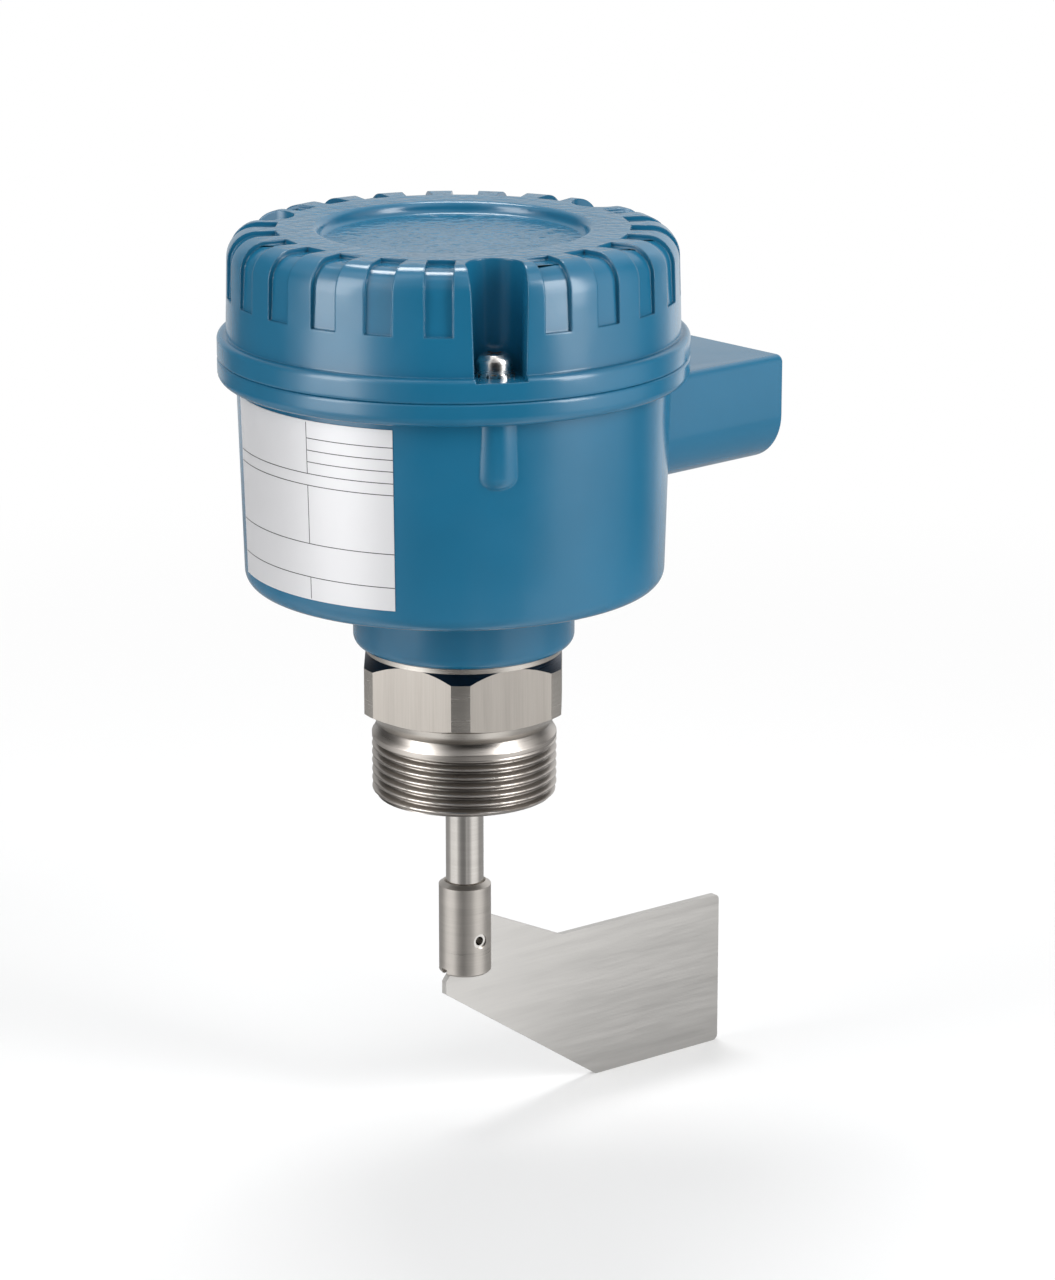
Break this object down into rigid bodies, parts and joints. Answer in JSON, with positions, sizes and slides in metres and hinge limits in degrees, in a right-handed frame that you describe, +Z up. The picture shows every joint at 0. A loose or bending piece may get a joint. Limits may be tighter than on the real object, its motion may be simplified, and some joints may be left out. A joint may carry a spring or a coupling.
{
  "type": "rotary paddle level switch",
  "caption": "Bin level switch: round notched housing with conduit boss and nameplate, hexagon and pipe thread below, and a turning shaft with a flat boot-shaped paddle.",
  "frame": {"origin": "on the axis of the process thread, at the thread's upper end, where the relief under the hexagon begins", "axes": "+Z up along the shaft axis to the lid, +X along the conduit boss, with the paddle stored pointing the same way"},
  "size_m": [0.1487, 0.1194, 0.2376],
  "materials": {
    "powder_coat": "satin-gloss powder coat with a fine orange peel",
    "stainless": "turned and brushed stainless steel",
    "bearing_steel": "ground",
    "rubber": "matte",
    "nickel_brass": "nickel plated",
    "label_foil": "satin foil",
    "zinc_steel": "zinc plated",
    "spring_steel": "bright",
    "switch_plastic": "moulded",
    "board_laminate": "solder mask",
    "terminal_plastic": "moulded"
  },
  "bodies": {
    "housing": {"base_housing": "powder_coat", "process_connection": "stainless", "lower_bearing": "bearing_steel", "upper_bearing": "bearing_steel", "shaft_seal": "rubber", "bearing_ring": "bearing_steel", "yoke_ring": "bearing_steel", "neck_ring": "rubber", "neck_nut": "nickel_brass", "lid_gasket": "rubber", "rating_label": "label_foil", "switch_bracket": "zinc_steel", "bracket_screws": "zinc_steel", "signal_switch": "switch_plastic", "stop_switch": "switch_plastic", "switch_screws": "zinc_steel", "spring_post": "nickel_brass", "return_spring": "spring_steel", "terminal_board": "board_laminate", "board_pillars": "nickel_brass", "board_screws": "zinc_steel", "terminal_block_left": "terminal_plastic", "terminal_block_right": "terminal_plastic", "terminal_screws": "zinc_steel", "relay": "switch_plastic", "transformer": "switch_plastic", "capacitor_block": "switch_plastic", "earth_clamp": "nickel_brass", "earth_screw": "zinc_steel"},
    "rotor": {"drive_shaft": "stainless", "paddle_sleeve": "stainless", "spring_pin": "stainless", "paddle_blade": "stainless", "coupling": "nickel_brass", "grub_screws": "zinc_steel", "motor_shaft": "stainless"},
    "motor_carriage": {"swing_yoke": "zinc_steel", "gearbox": "zinc_steel", "motor_can": "zinc_steel", "motor_screws": "zinc_steel", "trip_pin": "zinc_steel", "spring_stud": "zinc_steel"},
    "signal_lever": {"signal_lever": "spring_steel"},
    "stop_lever": {"stop_lever": "spring_steel"},
    "lid": {"lid": "powder_coat", "lid_screws": "stainless", "spring_washers": "stainless", "tooth_washers": "stainless"}
  },
  "joints": [
    {"name": "paddle_spin", "type": "hinge", "parent": "housing", "child": "rotor", "pos_m": [0, 0, 0], "axis": [0, 0, 1], "continuous": true},
    {"name": "motor_swing", "type": "hinge", "parent": "housing", "child": "motor_carriage", "pos_m": [0, 0, 0.055], "axis": [0, 0, 1], "range_deg": [0, 10], "stiffness_Nm_per_rad": 0.3, "springref_deg": -17.19, "deforming": ["return_spring"]},
    {"name": "signal_lever_pivot", "type": "hinge", "parent": "housing", "child": "signal_lever", "pos_m": [-0.0175, -0.0079, 0.0617], "axis": [0, 0, 1], "range_deg": [0, 22]},
    {"name": "stop_lever_pivot", "type": "hinge", "parent": "housing", "child": "stop_lever", "pos_m": [-0.0175, -0.0079, 0.0681], "axis": [0, 0, 1], "range_deg": [0, 9.5]},
    {"name": "lid_lift", "type": "slide", "parent": "housing", "child": "lid", "axis": [0, 0, 1], "range_m": [0, 0.07]}
  ],
  "couplings": [
    {"joint": "signal_lever_pivot", "follows": "motor_swing", "ratio": 2.15},
    {"joint": "stop_lever_pivot", "follows": "motor_swing", "ratio": 0.9}
  ]
}
